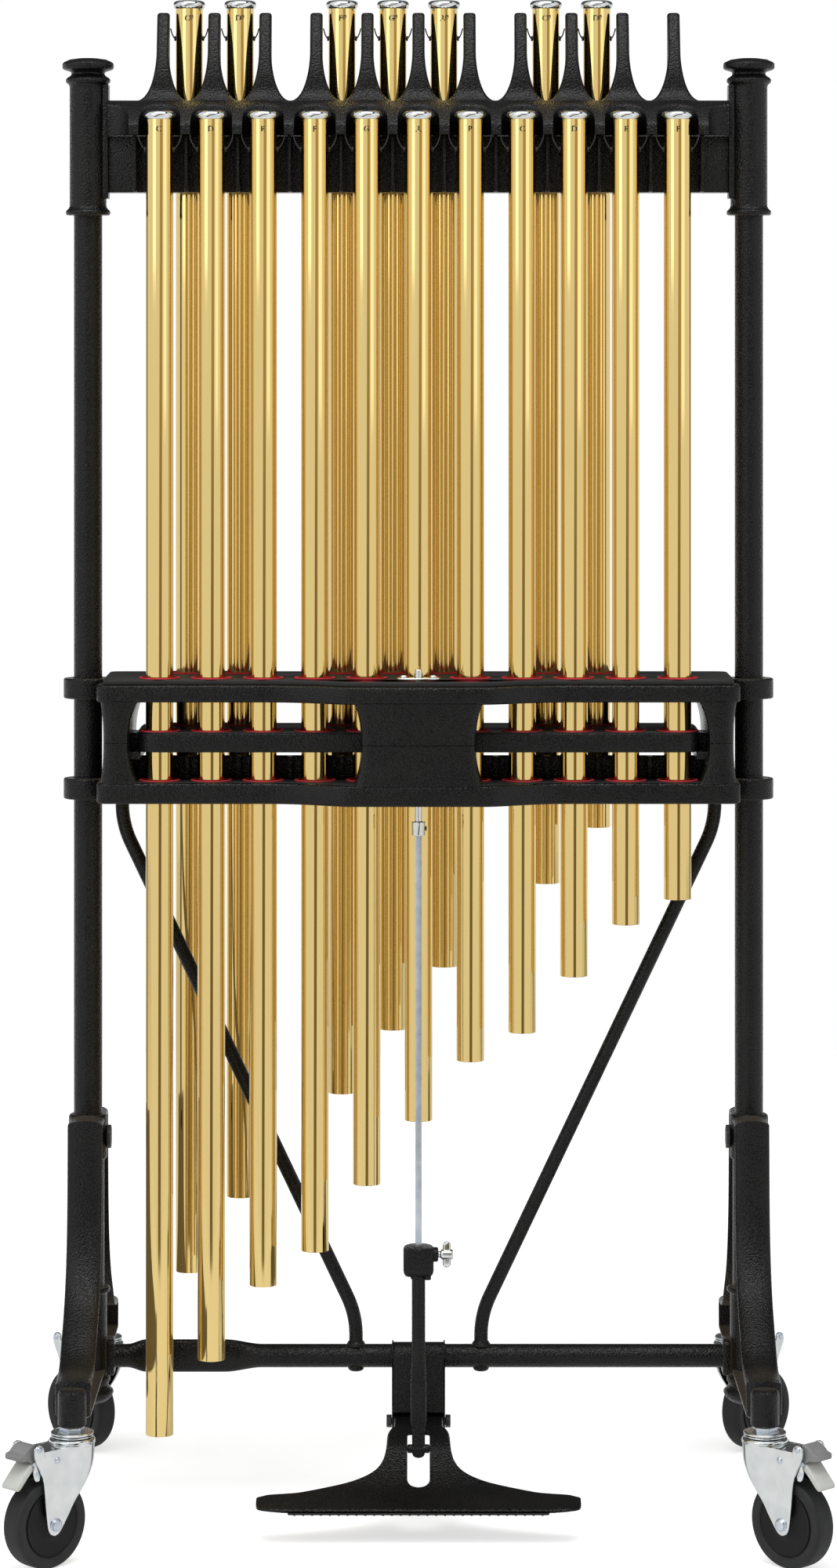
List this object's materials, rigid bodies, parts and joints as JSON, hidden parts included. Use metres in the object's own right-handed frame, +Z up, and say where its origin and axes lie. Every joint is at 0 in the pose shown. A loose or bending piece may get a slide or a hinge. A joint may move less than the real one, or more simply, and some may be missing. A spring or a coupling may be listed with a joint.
{
  "type": "tubular bells",
  "caption": "Orchestral chimes: two rows of capped brass tubes hang from a comb rail on a black wheeled stand, with a pedal-worked damper box",
  "frame": {"origin": "on the floor under the middle of the stand", "axes": "+Z up, the player stands at -Y, and the longest tubes are at -X"},
  "size_m": [0.9176, 0.6432, 1.76],
  "materials": {
    "powder_coat": "black powder coat with a fine leather grain",
    "brass_tube": "satin lacquered brass",
    "chrome": "polished chrome plate",
    "zinc": "bluish zinc plate",
    "damper_board": "black board with felt-lined holes",
    "rubber": "black rubber strip",
    "wheel_rubber": "dark rubber tread on a plastic wheel",
    "light_grey": "light grey moulded plastic",
    "dark_grey": "dark grey moulded plastic"
  },
  "bodies": {
    "frame": {"post_left": "powder_coat", "post_head_left": "powder_coat", "post_foot_left": "powder_coat", "leg_left": "powder_coat", "hub_bolt_left": "zinc", "brace_left": "powder_coat", "post_right": "powder_coat", "post_head_right": "powder_coat", "post_foot_right": "powder_coat", "leg_right": "powder_coat", "hub_bolt_right": "zinc", "brace_right": "powder_coat", "comb_rail": "powder_coat", "rail_panel": "powder_coat", "damper_box_lower": "powder_coat", "damper_box_upper": "powder_coat", "crossbar": "powder_coat", "pedal_bracket": "powder_coat", "rod_guide": "chrome", "pedal_pivot": "zinc", "caster_stem_front_left": "zinc", "caster_stem_front_right": "zinc", "caster_stem_back_left": "zinc", "caster_stem_back_right": "zinc"},
    "pedal": {"pedal": "powder_coat", "pedal_tread": "rubber"},
    "damper_rod": {"damper_rod": "zinc", "push_tube": "powder_coat"},
    "damper_plate": {"damper_plate": "damper_board"},
    "wing_bolt": {"wing_bolt": "chrome"},
    "tube_c5": {"tube_c5": "brass_tube"},
    "tube_cs5": {"tube_cs5": "brass_tube"},
    "tube_d5": {"tube_d5": "brass_tube"},
    "tube_ds5": {"tube_ds5": "brass_tube"},
    "tube_e5": {"tube_e5": "brass_tube"},
    "tube_f5": {"tube_f5": "brass_tube"},
    "tube_fs5": {"tube_fs5": "brass_tube"},
    "tube_g5": {"tube_g5": "brass_tube"},
    "tube_gs5": {"tube_gs5": "brass_tube"},
    "tube_a5": {"tube_a5": "brass_tube"},
    "tube_as5": {"tube_as5": "brass_tube"},
    "tube_b5": {"tube_b5": "brass_tube"},
    "tube_c6": {"tube_c6": "brass_tube"},
    "tube_cs6": {"tube_cs6": "brass_tube"},
    "tube_d6": {"tube_d6": "brass_tube"},
    "tube_ds6": {"tube_ds6": "brass_tube"},
    "tube_e6": {"tube_e6": "brass_tube"},
    "tube_f6": {"tube_f6": "brass_tube"},
    "fork_front_left": {"caster_fork_front_left": "chrome"},
    "wheel_front_left": {"caster_wheel_front_left": "wheel_rubber"},
    "brake_front_left": {"brake_pedal_front_left": "light_grey", "brake_lever_front_left": "dark_grey"},
    "fork_front_right": {"caster_fork_front_right": "chrome"},
    "wheel_front_right": {"caster_wheel_front_right": "wheel_rubber"},
    "brake_front_right": {"brake_pedal_front_right": "light_grey", "brake_lever_front_right": "dark_grey"},
    "fork_back_left": {"caster_fork_back_left": "chrome"},
    "wheel_back_left": {"caster_wheel_back_left": "wheel_rubber"},
    "fork_back_right": {"caster_fork_back_right": "chrome"},
    "wheel_back_right": {"caster_wheel_back_right": "wheel_rubber"}
  },
  "joints": [
    {"name": "tube_c5_swing", "type": "hinge", "parent": "frame", "child": "tube_c5", "pos_m": [-0.3, -0.045, 1.598], "axis": [1, 0, 0], "range_deg": [-0.18, 0.18]},
    {"name": "tube_cs5_swing", "type": "hinge", "parent": "frame", "child": "tube_cs5", "pos_m": [-0.27, 0.045, 1.727], "axis": [1, 0, 0], "range_deg": [-0.18, 0.18]},
    {"name": "tube_d5_swing", "type": "hinge", "parent": "frame", "child": "tube_d5", "pos_m": [-0.24, -0.045, 1.598], "axis": [1, 0, 0], "range_deg": [-0.18, 0.18]},
    {"name": "tube_ds5_swing", "type": "hinge", "parent": "frame", "child": "tube_ds5", "pos_m": [-0.21, 0.045, 1.727], "axis": [1, 0, 0], "range_deg": [-0.18, 0.18]},
    {"name": "tube_e5_swing", "type": "hinge", "parent": "frame", "child": "tube_e5", "pos_m": [-0.18, -0.045, 1.598], "axis": [1, 0, 0], "range_deg": [-0.18, 0.18]},
    {"name": "tube_f5_swing", "type": "hinge", "parent": "frame", "child": "tube_f5", "pos_m": [-0.12, -0.045, 1.598], "axis": [1, 0, 0], "range_deg": [-0.18, 0.18]},
    {"name": "tube_fs5_swing", "type": "hinge", "parent": "frame", "child": "tube_fs5", "pos_m": [-0.09, 0.045, 1.727], "axis": [1, 0, 0], "range_deg": [-0.18, 0.18]},
    {"name": "tube_g5_swing", "type": "hinge", "parent": "frame", "child": "tube_g5", "pos_m": [-0.06, -0.045, 1.598], "axis": [1, 0, 0], "range_deg": [-0.18, 0.18]},
    {"name": "tube_gs5_swing", "type": "hinge", "parent": "frame", "child": "tube_gs5", "pos_m": [-0.03, 0.045, 1.727], "axis": [1, 0, 0], "range_deg": [-0.18, 0.18]},
    {"name": "tube_a5_swing", "type": "hinge", "parent": "frame", "child": "tube_a5", "pos_m": [0, -0.045, 1.598], "axis": [1, 0, 0], "range_deg": [-0.18, 0.18]},
    {"name": "tube_as5_swing", "type": "hinge", "parent": "frame", "child": "tube_as5", "pos_m": [0.03, 0.045, 1.727], "axis": [1, 0, 0], "range_deg": [-0.18, 0.18]},
    {"name": "tube_b5_swing", "type": "hinge", "parent": "frame", "child": "tube_b5", "pos_m": [0.06, -0.045, 1.598], "axis": [1, 0, 0], "range_deg": [-0.18, 0.18]},
    {"name": "tube_c6_swing", "type": "hinge", "parent": "frame", "child": "tube_c6", "pos_m": [0.12, -0.045, 1.598], "axis": [1, 0, 0], "range_deg": [-0.18, 0.18]},
    {"name": "tube_cs6_swing", "type": "hinge", "parent": "frame", "child": "tube_cs6", "pos_m": [0.15, 0.045, 1.727], "axis": [1, 0, 0], "range_deg": [-0.18, 0.18]},
    {"name": "tube_d6_swing", "type": "hinge", "parent": "frame", "child": "tube_d6", "pos_m": [0.18, -0.045, 1.598], "axis": [1, 0, 0], "range_deg": [-0.18, 0.18]},
    {"name": "tube_ds6_swing", "type": "hinge", "parent": "frame", "child": "tube_ds6", "pos_m": [0.21, 0.045, 1.727], "axis": [1, 0, 0], "range_deg": [-0.18, 0.18]},
    {"name": "tube_e6_swing", "type": "hinge", "parent": "frame", "child": "tube_e6", "pos_m": [0.24, -0.045, 1.598], "axis": [1, 0, 0], "range_deg": [-0.18, 0.18]},
    {"name": "tube_f6_swing", "type": "hinge", "parent": "frame", "child": "tube_f6", "pos_m": [0.3, -0.045, 1.598], "axis": [1, 0, 0], "range_deg": [-0.18, 0.18]},
    {"name": "pedal_press", "type": "hinge", "parent": "frame", "child": "pedal", "pos_m": [0, 0, 0.0976], "axis": [1, 0, 0], "range_deg": [0, 7], "stiffness_Nm_per_rad": 12, "springref_deg": -20.05},
    {"name": "damper_rod_slide", "type": "slide", "parent": "frame", "child": "damper_rod", "axis": [0, 0, -1], "range_m": [0, 0.0099]},
    {"name": "damper_plate_slide", "type": "slide", "parent": "frame", "child": "damper_plate", "axis": [0, -1, 0], "range_m": [0, 0.003]},
    {"name": "wing_bolt_turn", "type": "hinge", "parent": "damper_rod", "child": "wing_bolt", "pos_m": [0.0231, -0.082, 0.308], "axis": [1, 0, 0], "range_deg": [0, 90]},
    {"name": "swivel_front_left", "type": "hinge", "parent": "frame", "child": "fork_front_left", "pos_m": [-0.386, -0.25, 0.13], "axis": [0, 0, 1], "continuous": true},
    {"name": "wheel_front_left_spin", "type": "hinge", "parent": "fork_front_left", "child": "wheel_front_left", "pos_m": [-0.41428, -0.27828, 0.05], "axis": [0.7071, -0.7071, 0], "continuous": true},
    {"name": "brake_front_left_lift", "type": "hinge", "parent": "fork_front_left", "child": "brake_front_left", "pos_m": [-0.42843, -0.29243, 0.117], "axis": [-0.7071, 0.7071, 0], "range_deg": [0, 12]},
    {"name": "swivel_front_right", "type": "hinge", "parent": "frame", "child": "fork_front_right", "pos_m": [0.386, -0.25, 0.13], "axis": [0, 0, 1], "continuous": true},
    {"name": "wheel_front_right_spin", "type": "hinge", "parent": "fork_front_right", "child": "wheel_front_right", "pos_m": [0.41428, -0.27828, 0.05], "axis": [0.7071, 0.7071, 0], "continuous": true},
    {"name": "brake_front_right_lift", "type": "hinge", "parent": "fork_front_right", "child": "brake_front_right", "pos_m": [0.42843, -0.29243, 0.117], "axis": [-0.7071, -0.7071, 0], "range_deg": [0, 12]},
    {"name": "swivel_back_left", "type": "hinge", "parent": "frame", "child": "fork_back_left", "pos_m": [-0.386, 0.25, 0.13], "axis": [0, 0, 1], "continuous": true},
    {"name": "wheel_back_left_spin", "type": "hinge", "parent": "fork_back_left", "child": "wheel_back_left", "pos_m": [-0.41428, 0.27828, 0.05], "axis": [-0.7071, -0.7071, 0], "continuous": true},
    {"name": "swivel_back_right", "type": "hinge", "parent": "frame", "child": "fork_back_right", "pos_m": [0.386, 0.25, 0.13], "axis": [0, 0, 1], "continuous": true},
    {"name": "wheel_back_right_spin", "type": "hinge", "parent": "fork_back_right", "child": "wheel_back_right", "pos_m": [0.41428, 0.27828, 0.05], "axis": [-0.7071, 0.7071, 0], "continuous": true}
  ],
  "couplings": [
    {"joint": "damper_rod_slide", "follows": "pedal_press", "m_per_rad": 0.0805},
    {"joint": "damper_plate_slide", "follows": "pedal_press", "m_per_rad": 0.0245}
  ]
}
